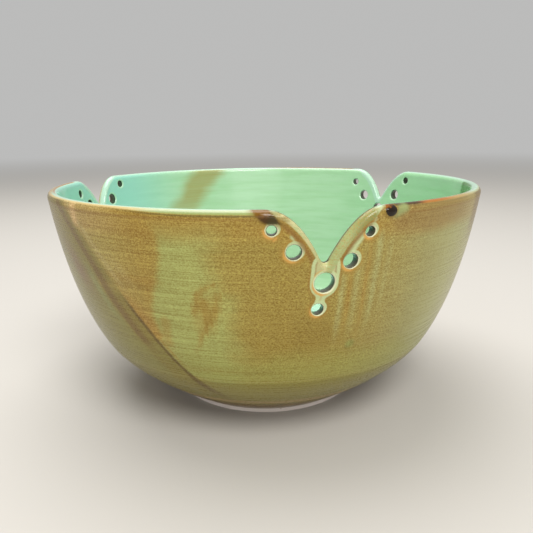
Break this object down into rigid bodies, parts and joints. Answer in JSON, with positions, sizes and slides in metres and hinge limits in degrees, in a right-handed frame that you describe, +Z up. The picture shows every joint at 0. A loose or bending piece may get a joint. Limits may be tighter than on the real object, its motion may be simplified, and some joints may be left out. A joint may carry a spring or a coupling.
{
  "type": "yarn bowl",
  "caption": "Round ceramic yarn bowl with pointed notches in its rim, each ringed by pierced holes that guide the yarn, glazed pale green inside and olive brown outside.",
  "frame": {"origin": "centre of the foot ring's underside, on the surface that the bowl stands on", "axes": "+Z up along the bowl's axis, -Y towards the front notch"},
  "size_m": [0.2, 0.1991, 0.101],
  "materials": {
    "bare_stoneware": "fired and unglazed, fine and matte, left bare on the foot ring and underside",
    "pale_green_glaze": "glossy celadon green with faint wheel lines",
    "olive_brown_glaze": "satin gloss, mottled tan, brown and olive with fine wheel lines and paler rings round the holes"
  },
  "bodies": {
    "root": {"stoneware_body": "bare_stoneware", "inside_glaze": "pale_green_glaze", "outside_glaze": "olive_brown_glaze"}
  },
  "joints": []
}
